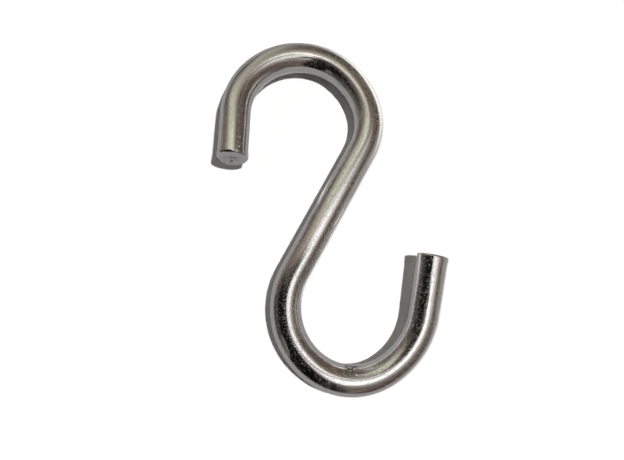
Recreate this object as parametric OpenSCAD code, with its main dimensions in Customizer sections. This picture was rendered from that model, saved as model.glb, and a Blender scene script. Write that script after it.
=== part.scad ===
// S hook bent from one length of round steel wire.
// It lies in the XY plane on its side, with its length along Y and the wire's
// underside at Z = 0. The origin is under the middle of its outline.
// Each arm is drawn from the middle of the shank: half the shank, three
// tangent bends that always turn the same way, a straight leg and a cut tip.
// The last bend is rolled a little out of the plane, so the tip stands clear.

/* [Wire] */
// Diameter of the round wire
wire_d = 6; // [3:0.1:9]
// Straight length between the two eyes
shank_l = 27.9; // [16:0.1:60]
// Angle between the shank and the hook's length
shank_lean = 28.5; // [15:0.1:40]

/* [Upper eye] */
// Centreline radius where the shank enters the upper bend
upper_throat_r = 12.2; // [9:0.1:24]
// Turn taken at the throat radius
upper_throat_turn = 49; // [20:0.1:60]
// Centreline radius over the crown of the upper bend
upper_crown_r = 16.2; // [9:0.1:24]
// Turn taken at the crown radius
upper_crown_turn = 31.3; // [20:0.1:60]
// Centreline radius from the crown down to the leg
upper_flank_r = 12.9; // [9:0.1:24]
// Turn taken at the flank radius
upper_flank_turn = 126.3; // [80:0.1:135]
// Roll of the flank and leg about the wire, which lifts the tip
upper_roll = 6.1; // [0:0.1:12]
// Straight leg from the bend to the middle of the cut face
upper_leg_l = 10.1; // [4:0.1:24]

/* [Lower eye] */
// Centreline radius where the shank enters the lower bend
lower_throat_r = 13.9; // [9:0.1:24]
// Turn taken at the throat radius
lower_throat_turn = 85; // [50:0.1:100]
// Centreline radius under the crown of the lower bend
lower_crown_r = 11.9; // [9:0.1:24]
// Turn taken at the crown radius
lower_crown_turn = 63.6; // [30:0.1:80]
// Centreline radius from the crown up to the leg
lower_flank_r = 15.8; // [9:0.1:24]
// Turn taken at the flank radius
lower_flank_turn = 50.6; // [20:0.1:70]
// Roll of the flank and leg about the wire, which lifts the tip
lower_roll = 6.5; // [0:0.1:12]
// Straight leg from the bend to the middle of the cut face
lower_leg_l = 11.1; // [4:0.1:24]

/* [Cut tips] */
// How far the shear spreads each tip sideways, on each side
tip_spread = 0.12; // [0.02:0.01:0.4]
// Length over which a tip widens
tip_spread_l = 1.6; // [1:0.1:3]
// Lean of the upper cut face, out of square and upwards
upper_cut_pitch = 6.5; // [0:0.5:25]
// Skew of the upper cut face, towards the outside of the hook
upper_cut_skew = 0.5; // [0:0.5:20]
// Lean of the lower cut face, out of square and upwards
lower_cut_pitch = 0; // [0:0.5:25]
// Skew of the lower cut face, towards the outside of the hook
lower_cut_skew = 1.5; // [0:0.5:20]

/* [Hidden] */
$fn = 64;

// Length of the collar over the seam after a bend, and its height over the wire
SEAM_L = 0.04;
SEAM_RISE = 0.01;

wire_r = wire_d / 2;
tip_r = wire_r + tip_spread;

// An arm's bends, in order from the shank: [centreline radius, turn]
UPPER = [
    [upper_throat_r, upper_throat_turn],
    [upper_crown_r, upper_crown_turn],
    [upper_flank_r, upper_flank_turn]
];
LOWER = [
    [lower_throat_r, lower_throat_turn],
    [lower_crown_r, lower_crown_turn],
    [lower_flank_r, lower_flank_turn]
];

// Headings in which the wire leaves the middle of the shank
upper_heading = 90 - shank_lean;
lower_heading = 270 - shank_lean;

function unit(dir) = [cos(dir), sin(dir), 0];

// Direction from the wire to the centre of a bend that is rolled out of plane
function inward(way, roll) = cos(roll) * unit(way + 90) + [0, 0, sin(roll)];

// Roll of bend i: only the last one has any
function roll_of(bends, roll, i) = i == len(bends) - 1 ? roll : 0;

// Heading of the wire before bend i of an arm
function heading(bends, start, i) =
    i == 0 ? start : heading(bends, start, i - 1) + bends[i - 1][1];

// Point of the centreline at which bend i starts
function joint_at(bends, start, i) =
    i == 0 ? unit(start) * shank_l / 2
           : joint_at(bends, start, i - 1)
             + swept(bends[i - 1], heading(bends, start, i - 1), 0);

// Way from the start of a bend to its end
function swept(bend, way, roll) =
    bend[0] * (sin(bend[1]) * unit(way)
               + (1 - cos(bend[1])) * inward(way, roll));

// Centre about which bend i turns
function centre_of(bends, start, roll, i) =
    joint_at(bends, start, i)
    + bends[i][0] * inward(heading(bends, start, i), roll_of(bends, roll, i));

// Direction of an arm's leg, after the last bend
function leg_way(bends, start, roll) =
    let (last = len(bends) - 1)
    let (way = heading(bends, start, last))
    cos(bends[last][1]) * unit(way) + sin(bends[last][1]) * inward(way, roll);

// Middle of an arm's cut face
function tip_at(bends, start, roll, leg_l) =
    let (last = len(bends) - 1)
    joint_at(bends, start, last)
    + swept(bends[last], heading(bends, start, last), roll)
    + leg_l * leg_way(bends, start, roll);

// How far bend i bulges in direction dir, past its centre, if it does so at all
function bulge(bends, start, roll, i, dir) =
    let (way = heading(bends, start, i))
    let (ahead = unit(way) * unit(dir))
    let (in = inward(way, roll_of(bends, roll, i)) * unit(dir))
    let (turned = atan2(ahead, -in))
    turned >= 0 && turned <= bends[i][1] ? bends[i][0] * norm([ahead, in]) : undef;

// How far an arm reaches from the middle of the shank in direction dir
function reach(bends, start, roll, leg_l, dir) = max([
    for (i = [0 : len(bends) - 1])
        let (out = bulge(bends, start, roll, i, dir))
        if (!is_undef(out))
            centre_of(bends, start, roll, i) * unit(dir) + out + wire_r,
    tip_at(bends, start, roll, leg_l) * unit(dir)
    + tip_r * norm(cross(leg_way(bends, start, roll), unit(dir)))
]);

function hook_reach(dir) = max(
    reach(UPPER, upper_heading, upper_roll, upper_leg_l, dir),
    reach(LOWER, lower_heading, lower_roll, lower_leg_l, dir)
);

middle_x = (hook_reach(0) - hook_reach(180)) / 2;
middle_y = (hook_reach(90) - hook_reach(270)) / 2;

// Straight wire along +Y, with what follows it
module straight(l) {
    rotate([-90, 0, 0])
        cylinder(h = l, r = wire_r);
    translate([0, l, 0])
        children();
}

// Hair-thin collar over a seam. The pieces on both sides end inside it, so they
// become one solid without having to match each other face to face.
module seam() {
    rotate([90, 0, 0])
        cylinder(h = SEAM_L, r = wire_r + SEAM_RISE, center = true);
}

// Wire bent to the left out of +Y, with what follows it
module bend(r, turn) {
    translate([-r, 0, 0]) {
        rotate_extrude(angle = turn)
            translate([r, 0])
                circle(r = wire_r);
        rotate([0, 0, turn])
            translate([r, 0, 0]) {
                seam();
                children();
            }
    }
}

// The bends of an arm one after another, and then the leg and its tip
module bends_from(bends, roll, i) {
    if (i < len(bends)) {
        rotate([0, roll_of(bends, roll, i), 0])
            bend(bends[i][0], bends[i][1])
                bends_from(bends, roll, i + 1)
                    children();
    } else {
        children();
    }
}

// Sheared end of the wire: it widens sideways but is no higher than the wire,
// and its face is cut off square or leaning
module tip(pitch, skew) {
    over = tip_r * (tan(pitch) + tan(skew)) + tip_spread_l;
    full_l = tip_spread_l + over;
    full_r = wire_r + tip_spread * full_l / tip_spread_l;
    block = 4 * (full_l + full_r);
    difference() {
        intersection() {
            rotate([-90, 0, 0])
                cylinder(h = full_l, r1 = wire_r, r2 = full_r);
            translate([-block / 2, -block / 2, -wire_r])
                cube([block, block, wire_d]);
        }
        translate([0, tip_spread_l, 0])
            rotate([pitch, 0, -skew])
                translate([-block / 2, 0, -block / 2])
                    cube(block);
    }
}

module arm(bends, roll, leg_l, cut_pitch, cut_skew) {
    straight(shank_l / 2)
        bends_from(bends, roll, 0)
            straight(leg_l - tip_spread_l)
                tip(cut_pitch, cut_skew);
}

module hook() {
    color("#b9b9b6")
        translate([-middle_x, -middle_y, wire_r + SEAM_RISE])
            union() {
                rotate([0, 0, upper_heading - 90])
                    arm(UPPER, upper_roll, upper_leg_l, upper_cut_pitch, upper_cut_skew);
                rotate([0, 0, lower_heading - 90])
                    arm(LOWER, lower_roll, lower_leg_l, lower_cut_pitch, lower_cut_skew);
            }
}

hook();
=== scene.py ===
import math
import bmesh
import bpy
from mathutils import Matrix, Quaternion, Vector, noise


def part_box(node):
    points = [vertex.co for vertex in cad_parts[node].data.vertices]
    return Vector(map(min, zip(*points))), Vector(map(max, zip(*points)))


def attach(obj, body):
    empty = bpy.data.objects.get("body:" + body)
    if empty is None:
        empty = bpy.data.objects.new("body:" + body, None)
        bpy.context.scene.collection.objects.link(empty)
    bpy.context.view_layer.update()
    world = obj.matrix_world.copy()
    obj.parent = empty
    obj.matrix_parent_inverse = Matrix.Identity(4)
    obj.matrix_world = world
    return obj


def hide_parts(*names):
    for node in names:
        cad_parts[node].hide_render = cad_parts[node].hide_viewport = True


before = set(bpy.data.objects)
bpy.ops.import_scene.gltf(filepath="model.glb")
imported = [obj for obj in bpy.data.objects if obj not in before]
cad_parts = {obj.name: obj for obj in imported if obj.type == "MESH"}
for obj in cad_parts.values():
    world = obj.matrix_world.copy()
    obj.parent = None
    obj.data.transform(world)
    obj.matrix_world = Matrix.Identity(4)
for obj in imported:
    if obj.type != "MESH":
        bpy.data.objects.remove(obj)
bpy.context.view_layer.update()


# --- The hook ---------------------------------------------------------------
# One length of 6 mm mild steel wire: drawn, sheared off at both ends and bent
# cold around two formers, then bright zinc plated in a barrel with many others.

MM = 0.001

WIRE_R = 3.0
SHANK_L = 27.9
SHANK_LEAN = 28.5
# Bends of each eye, in order from the shank: (centreline radius, turn)
UPPER_EYE = [(12.2, 49.0), (16.2, 31.3), (12.9, 126.3)]
LOWER_EYE = [(13.9, 85.0), (11.9, 63.6), (15.8, 50.6)]
# Roll of each eye's last bend and leg about the wire, which lifts the tip
UPPER_ROLL = 6.1
LOWER_ROLL = 6.5
UPPER_LEG = 10.1
LOWER_LEG = 11.1

# The shear leaves each end a little wider, its edge rounded, its face leaning
SPREAD = 0.12
SPREAD_L = 1.6
# Each cut: (pitch, skew, radius of its rounded edge, how far its sides fall back)
UPPER_CUT = (6.5, 1.0, 0.45, 0.2)
LOWER_CUT = (0.0, 1.5, 0.35, 0.0)

# The torn face: (height, how often per mm) of its coarse and fine relief, a pit, and a
# ridge round the upper part of the pit
COARSE_TEAR = (0.16, 1.1)
FINE_TEAR = (0.06, 3.1)
PIT_AT = (0.2, -0.8)
PIT_DEPTH, PIT_R = 0.4, 0.4
RIDGE_RISE, RIDGE_R, RIDGE_WIDTH = 0.12, 1.4, 0.25

# Step between the rings of points along the wire, the points in a ring, and the rings
# on each rounded edge and on each cut face
RING_STEP = 0.2
AROUND = 96
EDGE_RINGS = 6
FACE_RINGS = 30


def arm_path(heading, bends, roll, leg):
    """An arm's centreline from the middle of the shank.

    Gives (point, forward, right, roll, distance) at each ring, and the leg's first ring.
    """
    point, distance, rolled, rings = Vector(), 0.0, 0.0, []
    forward = Vector((math.cos(heading), math.sin(heading), 0))
    right = Vector((math.sin(heading), -math.cos(heading), 0))

    def stretch(length, radius=None):
        nonlocal point, forward, right, distance
        start, ahead, aside = point.copy(), forward.copy(), right.copy()
        steps = max(1, round(length / RING_STEP))
        for i in range(steps + 1):
            run = length * i / steps
            if radius:
                turn = run / radius
                point = start + radius * (math.sin(turn) * ahead - (1 - math.cos(turn)) * aside)
                forward = math.cos(turn) * ahead - math.sin(turn) * aside
                right = math.sin(turn) * ahead + math.cos(turn) * aside
            else:
                point = start + run * ahead
            if i < steps:
                rings.append((point, forward, right, rolled, distance + run))
        distance += length

    stretch(SHANK_L / 2)
    for i, (radius, turn) in enumerate(bends):
        if i == len(bends) - 1:
            rolled = math.radians(roll)
            right = math.cos(rolled) * right - math.sin(rolled) * Vector((0, 0, 1))
        stretch(radius * math.radians(turn), radius)
    straight_from = len(rings)
    stretch(leg)
    rings.append((point, forward, right, rolled, distance))
    return rings, straight_from


def torn_height(side, lift, sign):
    """How far a point of a torn face stands out. The two ends are torn differently."""
    coarse, fine = COARSE_TEAR[1], FINE_TEAR[1]
    height = COARSE_TEAR[0] * noise.noise(Vector((side * coarse + sign * 7, lift * coarse, 0)))
    height += FINE_TEAR[0] * noise.noise(Vector((side * fine, lift * fine + sign * 5, 4)))
    off = math.hypot(side - PIT_AT[0], lift - PIT_AT[1])
    height -= PIT_DEPTH * math.exp(-(off / PIT_R) ** 2)
    height += RIDGE_RISE * math.exp(-((off - RIDGE_R) / RIDGE_WIDTH) ** 2) * min(1, max(0, lift + 1))
    return height


def hook_mesh():
    """The whole wire as one closed tube, with its ends at the real cut faces."""
    mesh = bmesh.new()
    wrap = mesh.loops.layers.uv.new("wire")
    place = {}

    def ring(at, sign, shape):
        centre, forward, right, rolled, distance = at
        up = right.cross(forward)
        made = []
        for k in range(AROUND):
            lap = k / AROUND
            angle = math.tau * lap - math.pi / 2 + rolled
            side, lift, along = shape(WIRE_R * math.cos(angle), WIRE_R * math.sin(angle))
            made.append(mesh.verts.new(centre + side * right + lift * up + along * forward))
            place[made[-1]] = (sign * (distance + along), lap)
        return made

    def skin(first, second, material=0):
        for k in range(AROUND):
            n = (k + 1) % AROUND
            face = mesh.faces.new((first[k], first[n], second[n], second[k]))
            face.smooth = True
            face.material_index = material
            for loop in face.loops:
                distance, lap = place[loop.vert]
                if n == 0 and lap == 0.0:
                    lap = 1.0
                loop[wrap].uv = (distance * MM, lap * math.tau * WIRE_R * MM)

    def arm(heading, bends, roll, leg, cut, sign):
        pitch, skew = math.radians(cut[0]), math.radians(cut[1])
        edge, fall = cut[2:]
        rings, straight_from = arm_path(math.radians(heading), bends, roll, leg)
        slope_side = -math.tan(skew)
        slope_lift = -math.tan(pitch) / math.cos(skew)

        def face_at(side, lift):
            return side * slope_side + lift * slope_lift - fall * (side / WIRE_R) ** 2

        out = []
        for i, at in enumerate(rings):
            def shape(side, lift):
                if i < straight_from:
                    return side, lift, 0.0
                run = (at[-1] - rings[straight_from][-1]) / leg
                widened = side * (1 + SPREAD / WIRE_R * max(0.0, 1 - leg * (1 - run) / SPREAD_L))
                return widened, lift, run * (face_at(widened, lift) - edge)
            out.append(ring(at, sign, shape))
        wide = 1 + SPREAD / WIRE_R
        for j in range(1, EDGE_RINGS + 1):
            turn = math.pi / 2 * j / EDGE_RINGS
            keep = 1 - edge * (1 - math.cos(turn)) / WIRE_R

            def shape(side, lift):
                side, lift = side * wide * keep, lift * keep
                return side, lift, face_at(side, lift) - edge * (1 - math.sin(turn))
            out.append(ring(rings[-1], sign, shape))
        rim = len(out)
        for j in range(1, FACE_RINGS):
            keep = (1 - edge / WIRE_R) * (1 - j / FACE_RINGS)

            def shape(side, lift):
                side, lift = side * wide * keep, lift * keep
                torn = torn_height(side, lift, sign) * (1 - keep * keep)
                return side, lift, face_at(side, lift) + torn
            out.append(ring(rings[-1], sign, shape))
        for j in range(len(out) - 1):
            skin(out[j], out[j + 1], 1 if j >= rim - 1 else 0)
        tip = mesh.verts.new((0, 0, 0))
        tip.co = sum((v.co for v in out[-1]), Vector()) / AROUND
        place[tip] = (sign * rings[-1][-1], 0.5)
        for k in range(AROUND):
            face = mesh.faces.new((out[-1][k], out[-1][(k + 1) % AROUND], tip))
            face.smooth = True
            face.material_index = 1
            for loop in face.loops:
                run, lap = place[loop.vert]
                loop[wrap].uv = (run * MM, lap * math.tau * WIRE_R * MM)
        return out[0]

    upper = arm(90 - SHANK_LEAN, UPPER_EYE, UPPER_ROLL, UPPER_LEG, UPPER_CUT, 1)
    lower = arm(270 - SHANK_LEAN, LOWER_EYE, LOWER_ROLL, LOWER_LEG, LOWER_CUT, -1)
    bmesh.ops.remove_doubles(mesh, verts=upper + lower, dist=1e-4)
    bmesh.ops.recalc_face_normals(mesh, faces=mesh.faces)

    # The drawn outline goes to the middle of the wire's place in the frame
    low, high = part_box("hook")
    lowest = Vector([min(v.co[i] for v in mesh.verts) for i in range(3)])
    highest = Vector([max(v.co[i] for v in mesh.verts) for i in range(3)])
    shift = (low + high) / 2 / MM - (lowest + highest) / 2
    bmesh.ops.translate(mesh, verts=mesh.verts, vec=shift)
    bmesh.ops.scale(mesh, verts=mesh.verts, vec=(MM, MM, MM))
    data = bpy.data.meshes.new("hook_wire")
    mesh.to_mesh(data)
    mesh.free()
    return data


def srgb(code):
    """A colour written as sRGB hex, as the linear values that shaders take."""
    parts = [int(code[i:i + 2], 16) / 255 for i in (0, 2, 4)]
    return [p / 12.92 if p <= 0.04045 else ((p + 0.055) / 1.055) ** 2.4 for p in parts] + [1.0]


def empty_material(name):
    """A material with no nodes yet, and its node tree."""
    material = bpy.data.materials.new(name)
    material.use_nodes = True
    material.node_tree.nodes.clear()
    return material, material.node_tree


def add_node(tree, kind, settings=None, links=None):
    """Adds a node with its settings, and sets its sockets to values or links them to outputs."""
    made = tree.nodes.new(kind)
    for name, value in (settings or {}).items():
        setattr(made, name, value)
    for socket, source in (links or {}).items():
        if isinstance(source, bpy.types.NodeSocket):
            tree.links.new(source, made.inputs[socket])
        else:
            made.inputs[socket].default_value = source
    return made


def paint(tree, chart, patches, under):
    """Soft-edged patches on a flat chart: (centre), (half size), turn, fade, square, colour.

    Gives the colour, and how much of what is under them still shows.
    """
    colour, still = under, 1.0
    for centre, half, turn, fade, square, code in patches:
        local = add_node(tree, "ShaderNodeMapping", {"vector_type": "TEXTURE"},
                         {"Vector": chart, "Location": (*centre, 0),
                          "Rotation": (0, 0, math.radians(turn)), "Scale": (*half, 1)}).outputs[0]
        if square:
            size = add_node(tree, "ShaderNodeVectorMath", {"operation": "ABSOLUTE"}, {0: local}).outputs[0]
            sides = add_node(tree, "ShaderNodeSeparateXYZ", None, {0: size})
            rho = add_node(tree, "ShaderNodeMath", {"operation": "MAXIMUM"},
                           {0: sides.outputs["X"], 1: sides.outputs["Y"]}).outputs[0]
            edges = (1 - fade / 2, 1 + fade / 2)
        else:
            flat = add_node(tree, "ShaderNodeVectorMath", {"operation": "MULTIPLY"},
                            {0: local, 1: (1, 1, 0)}).outputs[0]
            rho = add_node(tree, "ShaderNodeVectorMath", {"operation": "LENGTH"}, {0: flat}).outputs["Value"]
            edges = (1 - fade, 1)
        share = add_node(tree, "ShaderNodeMapRange", {"interpolation_type": "SMOOTHSTEP"},
                         {0: rho, 1: edges[0], 2: edges[1], 3: 1.0, 4: 0.0}).outputs[0]
        colour = add_node(tree, "ShaderNodeMix", {"data_type": "RGBA"},
                          {0: share, 6: colour, 7: srgb(code)}).outputs[2]
        still = add_node(tree, "ShaderNodeMix", {"data_type": "FLOAT"},
                         {0: share, 2: still, 3: 0.0}).outputs[0]
    return colour, still


# Scratches and knocks: (along, around), (half length, half width) in mm, and turn.
# Along is from the middle of the shank, less than 0 down the lower arm. Around is 9.4
# at the top of the wire, and more on the inside of the bend.
MARKS = [
    ((-42.6, 10.6), (1.2, 0.15), 8),
    ((-44.4, 10.3), (1.0, 0.12), 6),
    ((-46.0, 11.5), (0.5, 0.3), 15),
    ((-47.9, 12.1), (0.8, 0.15), 10),
    ((-56.2, 12.1), (0.6, 0.2), 0),
    ((65.4, 11.7), (0.9, 0.15), 0),
    ((68.2, 10.5), (0.25, 0.2), 0),
    ((69.3, 10.2), (0.2, 0.25), 0),
    ((70.2, 10.4), (0.3, 0.25), 0),
    ((71.0, 9.9), (0.3, 0.3), 0),
]
# Where the bending pin has pinched the wire, placed in the same way
PINCH = ((-41.0, 12.5), (2.3, 1.7), 5)


def soundness(tree, chart, places, fade):
    """How sound the plate is: 1 away from these places, and 0 in the middle of each."""
    black = srgb("000000")
    return paint(tree, chart, [(*place, fade, False, "000000") for place in places], black)[1]


def bright_zinc():
    """Bright zinc, barrel plated over drawn steel wire.

    A mirror, finely crinkled, knocked by the barrel and faintly lined along the wire,
    with a few single marks and one crumpled place, darkened in its folds by painted shade.
    """
    material, tree = empty_material("bright_zinc_plate")
    spot = add_node(tree, "ShaderNodeTexCoord")
    wrap = add_node(tree, "ShaderNodeUVMap", {"uv_map": "wire"})

    # Crinkle of the plate over the bent steel, 0.4 mm across
    crinkle = add_node(tree, "ShaderNodeTexNoise", {"noise_dimensions": "3D"},
                       {"Vector": spot.outputs["Object"], "Scale": 1 / (0.4 * MM),
                        "Detail": 2.0, "Roughness": 0.6})
    bumps = add_node(tree, "ShaderNodeBump", None,
                     {"Height": crinkle.outputs["Fac"], "Distance": 0.008 * MM})
    # Knocks from the barrel: small irregular dents, 0.1 to 0.3 mm across, deeper in
    # some places than in others
    dents = add_node(tree, "ShaderNodeTexNoise", {"noise_dimensions": "3D"},
                     {"Vector": spot.outputs["Object"], "Scale": 1 / (0.24 * MM),
                      "Detail": 1.0, "Roughness": 0.5})
    knocked = add_node(tree, "ShaderNodeMapRange", {"interpolation_type": "SMOOTHSTEP"},
                       {0: dents.outputs["Fac"], 1: 0.61, 2: 0.73, 3: 1.0, 4: 0.0})
    places = add_node(tree, "ShaderNodeTexNoise", {"noise_dimensions": "3D"},
                      {"Vector": spot.outputs["Object"], "Scale": 1 / (5 * MM), "Detail": 1.0})
    depth = add_node(tree, "ShaderNodeMapRange", None,
                     {0: places.outputs["Fac"], 1: 0.35, 2: 0.65, 3: 0.015 * MM, 4: 0.034 * MM})
    bumps = add_node(tree, "ShaderNodeBump", None,
                     {"Height": knocked.outputs[0], "Distance": depth.outputs[0],
                      "Normal": bumps.outputs["Normal"]})
    # The pinched place is crumpled, in folds 0.6 mm across
    folds = add_node(tree, "ShaderNodeTexNoise", {"noise_dimensions": "3D"},
                     {"Vector": spot.outputs["Object"], "Scale": 1 / (0.6 * MM), "Detail": 2.0})
    wire_mm = add_node(tree, "ShaderNodeVectorMath", {"operation": "SCALE"},
                       {0: wrap.outputs["UV"], "Scale": 1 / MM}).outputs[0]
    sound = soundness(tree, wire_mm, [PINCH], 0.6)
    crumple = add_node(tree, "ShaderNodeMapRange", None,
                       {0: sound, 1: 0.0, 2: 1.0, 3: 0.35 * MM, 4: 0.0})
    # Painted shade: the pinched place is darkened in its folds
    deep = add_node(tree, "ShaderNodeMapRange", {"interpolation_type": "SMOOTHSTEP"},
                    {0: folds.outputs["Fac"], 1: 0.44, 2: 0.52, 3: 0.85, 4: 0.0})
    fold_shade = add_node(tree, "ShaderNodeMix", {"data_type": "FLOAT"},
                     {0: sound, 2: deep.outputs[0], 3: 0.0})
    plate = add_node(tree, "ShaderNodeMix", {"data_type": "RGBA"},
                     {0: fold_shade.outputs[0], 6: srgb("d8d6d2"), 7: srgb("2c2a28")})
    bumps = add_node(tree, "ShaderNodeBump", None,
                     {"Height": folds.outputs["Fac"], "Distance": crumple.outputs[0],
                      "Normal": bumps.outputs["Normal"]})
    # Single marks, each at its own place
    bumps = add_node(tree, "ShaderNodeBump", None,
                     {"Height": soundness(tree, wire_mm, MARKS, 1),
                      "Distance": 0.11 * MM, "Normal": bumps.outputs["Normal"]})
    # Draw lines, about 12 mm long. Real ones are finer and too close to show, so these
    # are drawn 0.3 mm apart
    drawn = add_node(tree, "ShaderNodeMapping", None,
                     {"Vector": wrap.outputs["UV"], "Scale": (1 / (12 * MM), 1 / (0.3 * MM), 1)})
    lines = add_node(tree, "ShaderNodeTexNoise", {"noise_dimensions": "2D"},
                     {"Vector": drawn.outputs["Vector"], "Scale": 1.0, "Detail": 1.0})
    bumps = add_node(tree, "ShaderNodeBump", None,
                     {"Height": lines.outputs["Fac"], "Distance": 0.008 * MM,
                      "Normal": bumps.outputs["Normal"]})
    shader = add_node(tree, "ShaderNodeBsdfPrincipled", None,
                      {"Base Color": plate.outputs[2], "Metallic": 1.0, "Roughness": 0.08,
                       "Normal": bumps.outputs["Normal"]})
    add_node(tree, "ShaderNodeOutputMaterial", None, {"Surface": shader.outputs["BSDF"]})
    return material


def sheared_zinc():
    """A sheared steel end under the same plate: torn, so it is matt grey."""
    material, tree = empty_material("plated_sheared_end")
    spot = add_node(tree, "ShaderNodeTexCoord")
    grain = add_node(tree, "ShaderNodeTexNoise", {"noise_dimensions": "3D"},
                     {"Vector": spot.outputs["Object"], "Scale": 1 / (0.5 * MM),
                      "Detail": 3.0, "Roughness": 0.6})
    bumps = add_node(tree, "ShaderNodeBump", None,
                     {"Height": grain.outputs["Fac"], "Distance": 0.13 * MM})
    shader = add_node(tree, "ShaderNodeBsdfPrincipled", None,
                      {"Base Color": srgb("dad8d8"), "Metallic": 1.0, "Roughness": 0.45,
                       "Normal": bumps.outputs["Normal"]})
    add_node(tree, "ShaderNodeOutputMaterial", None, {"Surface": shader.outputs["BSDF"]})
    return material


hook = bpy.data.objects.new("hook_wire", hook_mesh())
bpy.context.collection.objects.link(hook)
hook.data.materials.append(bright_zinc())
hook.data.materials.append(sheared_zinc())
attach(hook, "root")
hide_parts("hook")


# --- The surface it lies on -------------------------------------------------
# A sheet of pale matt board, wide enough to reach the horizon. It is a backdrop
# and no part of the hook.

BOARD_HALF = 2.0

# The board as the metal mirrors it, in millimetres from its middle, with painted light and
# shade: painted duller far away, painted white in a strip along the lit side of each bend
# and along the shank, and grey inside the bends. Each patch: (centre), (half size), turn,
# how much of it fades out, whether it is square, and its colour.
BOARD_PAINTED_FAR = "6a6a6c"
BOARD_PAINTED_LIGHT = [
    ((0, 0), (170, 170), 0, 0.75, False, "a3a3a5"),
    ((0.6, 23.0), (19.5, 19.5), 0, 0.1, False, "ffffff"),
    ((11.6, -20.8), (18.5, 18.5), 0, 0.08, False, "ffffff"),
    ((26.0, -13.0), (4.6, 8.0), -8, 0.3, True, "ffffff"),
    ((-5.9, 18.5), (11.2, 11.2), 0, 0.1, False, "a3a3a5"),
    ((4.6, -18.3), (11.4, 11.4), 0, 0.1, False, "a3a3a5"),
    ((10.3, -8.0), (4.6, 10.0), -8, 0.3, True, "a3a3a5"),
    ((3.7, -2.2), (16.0, 3.2), 61.5, 0.3, True, "ffffff"),
]


def pale_board():
    """Matt card: white where it is looked at; where bright metal mirrors it, grey with painted light and
    shade.
    """
    material, tree = empty_material("pale_card")
    rays = add_node(tree, "ShaderNodeLightPath")
    spot = add_node(tree, "ShaderNodeTexCoord")
    chart = add_node(tree, "ShaderNodeVectorMath", {"operation": "SCALE"},
                     {0: spot.outputs["Object"], "Scale": 1 / MM}).outputs[0]
    # Painted light and shade that only the metal's mirror sees
    painted_mirror_light = paint(tree, chart, BOARD_PAINTED_LIGHT, srgb(BOARD_PAINTED_FAR))[0]
    shade = add_node(tree, "ShaderNodeMix", {"data_type": "RGBA"},
                     {0: rays.outputs["Is Glossy Ray"], 6: srgb("f9f9f9"), 7: painted_mirror_light})
    face = add_node(tree, "ShaderNodeBsdfDiffuse", None, {"Color": shade.outputs[2]})
    glow = add_node(tree, "ShaderNodeEmission", None,
                    {"Color": (1, 1, 1, 1), "Strength": 0.01})
    none = add_node(tree, "ShaderNodeEmission", None, {"Strength": 0.0})
    pick = add_node(tree, "ShaderNodeMixShader", None,
                    {0: rays.outputs["Is Camera Ray"], 1: none.outputs[0], 2: glow.outputs[0]})
    both = add_node(tree, "ShaderNodeAddShader", None, {0: face.outputs[0], 1: pick.outputs[0]})
    add_node(tree, "ShaderNodeOutputMaterial", None, {"Surface": both.outputs[0]})
    return material


board_mesh = bpy.data.meshes.new("board")
board_mesh.from_pydata(
    [(-BOARD_HALF, -BOARD_HALF, 0), (BOARD_HALF, -BOARD_HALF, 0),
     (BOARD_HALF, BOARD_HALF, 0), (-BOARD_HALF, BOARD_HALF, 0)], [], [(0, 1, 2, 3)])
board_mesh.materials.append(pale_board())
board = bpy.data.objects.new("board", board_mesh)
bpy.context.collection.objects.link(board)


# --- Light and surroundings -------------------------------------------------
# A plain lamp high on the right lights the board and throws the short shadow, and soft
# light from the back left fills it. The metal mirrors a pale ceiling, a tent of dull
# cloth and a white card, which only it sees, and which light nothing.

KEY_FROM = Vector((0.328, -0.022, 1.0))
KEY_LEVEL = 3.2
KEY_SIZE = 3.0
# Soft light on matt surfaces, slightly warm, from a window at the back left. It starts
# and is full at these shares of facing the window squarely.
FILL_FROM = (-0.75, 0.66, 0.0)
FILL_LEVEL = 0.385
FILL_TINT = "fff9f3"
FILL_START, FILL_FULL = -0.05, 0.8

key_data = bpy.data.lights.new("key", "SUN")
key_data.energy = KEY_LEVEL
key_data.angle = math.radians(KEY_SIZE)
key = bpy.data.objects.new("key", key_data)
key.rotation_euler = KEY_FROM.to_track_quat("Z", "Y").to_euler()
key.visible_glossy = False
bpy.context.collection.objects.link(key)

# What the metal mirrors, by direction. A direction is placed on a flat chart by its
# angle from straight up, in degrees: (east, north), (half width, half height), turn,
# how much of it fades out, whether it is square, and its colour. Later rows lie over
# earlier ones. WALLS, the first six rows of CEILING and the first thirteen rows of TENT
# are no design: they come from a least-squares fit, and most were darkened afterwards.
# The other rows are chosen one by one.
WALLS = "514944"
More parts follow.
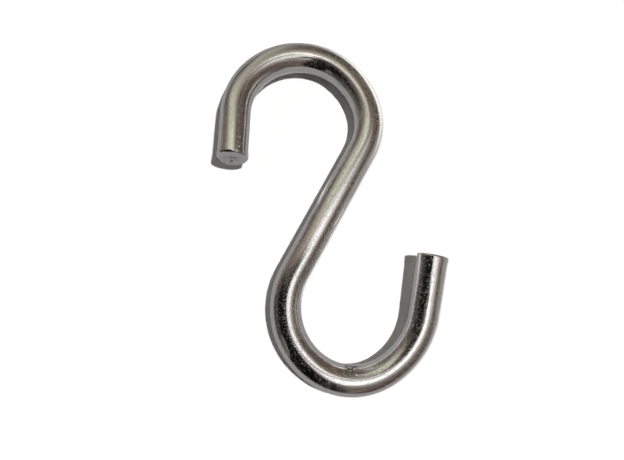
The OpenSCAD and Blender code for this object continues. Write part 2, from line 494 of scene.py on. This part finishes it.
# Close to the horizon everything turns to this grey
HORIZON = "696969"
HORIZON_FROM = 84.0
CEILING = [
    ((32, 48), (33, 11), -58, 0.21, False, "27291d"),
    ((-18, 30), (31, 53), 64, 1, False, "a9a79a"),
    ((8, 5), (11, 34), 67, 0.94, False, "e5d9db"),
    ((44, 23), (32, 95), -33, 0.99, False, "e0dcda"),
    ((17, 1), (16, 46), -38, 0.5, False, "f3f1f0"),
    ((19, 5), (18, 27), -106, 0.54, False, "ffffff"),
    ((9, 8), (12, 11), 0, 0.8, False, "ffffff"),
]
TENT_RADIUS = 125.0
TENT = [
    ((42, 31), (74, 44), -85, 0.82, False, "4c423b"),
    ((75, 28), (80, 33), 91, 0.78, False, "271d17"),
    ((89, 6), (34, 100), 0, 0.97, False, "8d8783"),
    ((17, -87), (96, 10), 44, 0.86, False, "3d2d2e"),
    ((11, -73), (5, 9), -50, 0.2, False, "67564a"),
    ((22, 40), (68, 16), 62, 0.99, False, "51473c"),
    ((-82, 31), (19, 75), -102, 0.64, False, "70635a"),
    ((-78, -47), (73, 52), 5, 0.19, True, "0b0a0a"),
    ((-27, 6), (38, 6.5), -22, 0.8, True, "070706"),
    ((-68, -51), (33, 11), 43, 0.14, False, "5e5e5b"),
    ((-71, -25), (26, 99), -9, 0.9, False, "3a3837"),
    ((-36, 13), (10, 50), -112, 0.94, False, "3d3a35"),
    ((-17, 66), (19, 41), -5, 1, False, "8c8d83"),
    ((-8, -8), (7, 8), 0, 1, False, "1a1a1a"),
    ((8, -5.5), (8, 4), 25, 1, False, "d0d0d0"),
    ((11, -12.5), (5, 3), 0, 0.7, False, "202020"),
    ((15, 35), (8, 6), 0, 1, False, "3a322c"),
    ((-11, 31), (22, 6), 0, 1, False, "b6beac"),
]
# The metal gives back 0.7 of this light, so a full white patch shines brighter than white
ROOM_GAIN = 1.92


def chart_of(tree, way):
    """A direction as a point on the flat chart, and its angle from straight up."""
    unit = add_node(tree, "ShaderNodeVectorMath", {"operation": "NORMALIZE"}, {0: way}).outputs[0]
    part = add_node(tree, "ShaderNodeSeparateXYZ", None, {0: unit})
    tilt = add_node(tree, "ShaderNodeMath", {"operation": "ARCCOSINE"}, {0: part.outputs["Z"]})
    tilt = add_node(tree, "ShaderNodeMath", {"operation": "DEGREES"}, {0: tilt.outputs[0]})
    flat = add_node(tree, "ShaderNodeVectorMath", {"operation": "MULTIPLY"}, {0: unit, 1: (1, 1, 0)})
    flat = add_node(tree, "ShaderNodeVectorMath", {"operation": "NORMALIZE"}, {0: flat.outputs[0]})
    chart = add_node(tree, "ShaderNodeVectorMath", {"operation": "SCALE"},
                     {0: flat.outputs[0], "Scale": tilt.outputs[0]})
    return chart.outputs[0], tilt.outputs[0]


def surroundings():
    """The world: white where it is looked at, the ceiling in the metal, and the fill on the rest."""
    world = bpy.data.worlds.new("room")
    world.use_nodes = True
    tree = world.node_tree
    tree.nodes.clear()
    way = add_node(tree, "ShaderNodeTexCoord").outputs["Generated"]
    chart, tilt = chart_of(tree, way)
    colour = paint(tree, chart, CEILING, srgb(WALLS))[0]
    horizon = add_node(tree, "ShaderNodeMapRange", {"interpolation_type": "SMOOTHSTEP"},
                       {0: tilt, 1: HORIZON_FROM, 2: 90.0}).outputs[0]
    colour = add_node(tree, "ShaderNodeMix", {"data_type": "RGBA"},
                      {0: horizon, 6: colour, 7: srgb(HORIZON)}).outputs[2]
    rays = add_node(tree, "ShaderNodeLightPath")
    room = add_node(tree, "ShaderNodeBackground", None, {"Color": colour, "Strength": ROOM_GAIN})
    side = add_node(tree, "ShaderNodeVectorMath", {"operation": "DOT_PRODUCT"},
                    {0: way, 1: FILL_FROM}).outputs["Value"]
    level = add_node(tree, "ShaderNodeMapRange", {"interpolation_type": "SMOOTHSTEP"},
                     {0: side, 1: FILL_START, 2: FILL_FULL, 3: 0.0, 4: FILL_LEVEL}).outputs[0]
    fill = add_node(tree, "ShaderNodeBackground", None, {"Color": srgb(FILL_TINT), "Strength": level})
    white = add_node(tree, "ShaderNodeBackground", None, {"Color": (1, 1, 1, 1), "Strength": 1.0})
    lit = add_node(tree, "ShaderNodeMixShader", None,
                   {0: rays.outputs["Is Glossy Ray"], 1: fill.outputs[0], 2: room.outputs[0]})
    seen = add_node(tree, "ShaderNodeMixShader", None,
                    {0: rays.outputs["Is Camera Ray"], 1: lit.outputs[0], 2: white.outputs[0]})
    add_node(tree, "ShaderNodeOutputWorld", None, {"Surface": seen.outputs[0]})
    bpy.context.scene.world = world


def soft_cloth(name, patches, layer=None):
    """Cloth or card in soft patches, open between them, placed by direction or on a layer."""
    material, tree = empty_material(name)
    if layer:
        chart = add_node(tree, "ShaderNodeUVMap", {"uv_map": layer}).outputs["UV"]
    else:
        chart = chart_of(tree, add_node(tree, "ShaderNodeTexCoord").outputs["Object"])[0]
    colour, still = paint(tree, chart, patches, srgb("000000"))
    cloth = add_node(tree, "ShaderNodeEmission", None, {"Color": colour, "Strength": ROOM_GAIN})
    gap = add_node(tree, "ShaderNodeBsdfTransparent", None, {"Color": still})
    both = add_node(tree, "ShaderNodeAddShader", None, {0: cloth.outputs[0], 1: gap.outputs[0]})
    add_node(tree, "ShaderNodeOutputMaterial", None, {"Surface": both.outputs[0]})
    return material


def mirror_only(name, mesh, material):
    """A piece of the stage that only mirroring metal sees: it casts no shadow and gives no light."""
    mesh.materials.append(material)
    made = bpy.data.objects.new(name, mesh)
    made.visible_camera = False
    made.visible_diffuse = False
    made.visible_transmission = False
    made.visible_volume_scatter = False
    made.visible_shadow = False
    bpy.context.collection.objects.link(made)


def tent_mesh():
    """The ball of cloth round the hook."""
    ball = bmesh.new()
    bmesh.ops.create_uvsphere(ball, u_segments=96, v_segments=48, radius=TENT_RADIUS * MM)
    data = bpy.data.meshes.new("tent")
    ball.to_mesh(data)
    ball.free()
    return data


surroundings()
mirror_only("tent", tent_mesh(), soft_cloth("tent_cloth", TENT))

# A low white strip of card, curved round the upper bend on its lit side: the middle and
# radius of its curve, the turns it stands between, and its height and the gap under it.
# Its patch is placed by turn in degrees and height in mm.
CARD_MID = (-5.9, 18.5)
CARD_R = 28.5
CARD_FROM, CARD_TO = -35, 100
CARD_TALL = 9.0
CARD_GAP = 0.02
CARD_STEPS = 60
CARD = [((28, 0), (62, 9), 0, 0.6, False, "e8e8e8")]


def card_mesh():
    """The upright strip, with a chart of its own."""
    points = []
    for i in range(CARD_STEPS + 1):
        turn = math.radians(CARD_FROM + (CARD_TO - CARD_FROM) * i / CARD_STEPS)
        east = (CARD_MID[0] + CARD_R * math.cos(turn)) * MM
        north = (CARD_MID[1] + CARD_R * math.sin(turn)) * MM
        points += [(east, north, CARD_GAP * MM), (east, north, CARD_TALL * MM)]
    faces = [(2 * i, 2 * i + 2, 2 * i + 3, 2 * i + 1) for i in range(CARD_STEPS)]
    data = bpy.data.meshes.new("card")
    data.from_pydata(points, [], faces)
    chart = data.uv_layers.new(name="chart")
    for loop in data.loops:
        spot = data.vertices[loop.vertex_index].co / MM
        turn = math.degrees(math.atan2(spot.y - CARD_MID[1], spot.x - CARD_MID[0]))
        chart.data[loop.index].uv = (turn, spot.z)
    return data


mirror_only("card", card_mesh(), soft_cloth("white_card", CARD, "chart"))
bpy.context.scene.view_settings.view_transform = "Standard"


# --- Camera -----------------------------------------------------------------
# It looks down at the lying hook from a hand's breadth above.

CAMERA_AT = Vector((-3.80, -24.48, 119.34))
CAMERA_AIM = Vector((-3.80, -3.58, 3.01))
CAMERA_ROLL = 0.174
LENS = 34.81

camera_data = bpy.data.cameras.new("camera")
camera_data.lens = LENS
camera_data.sensor_width = 36.0
camera_data.clip_start = 0.005
camera = bpy.data.objects.new("camera", camera_data)
look = (CAMERA_AIM - CAMERA_AT).to_track_quat("-Z", "Y")
camera.location = CAMERA_AT * MM
camera.rotation_mode = "QUATERNION"
camera.rotation_quaternion = look @ Quaternion((0, 0, 1), math.radians(CAMERA_ROLL))
bpy.context.collection.objects.link(camera)
bpy.context.scene.camera = camera
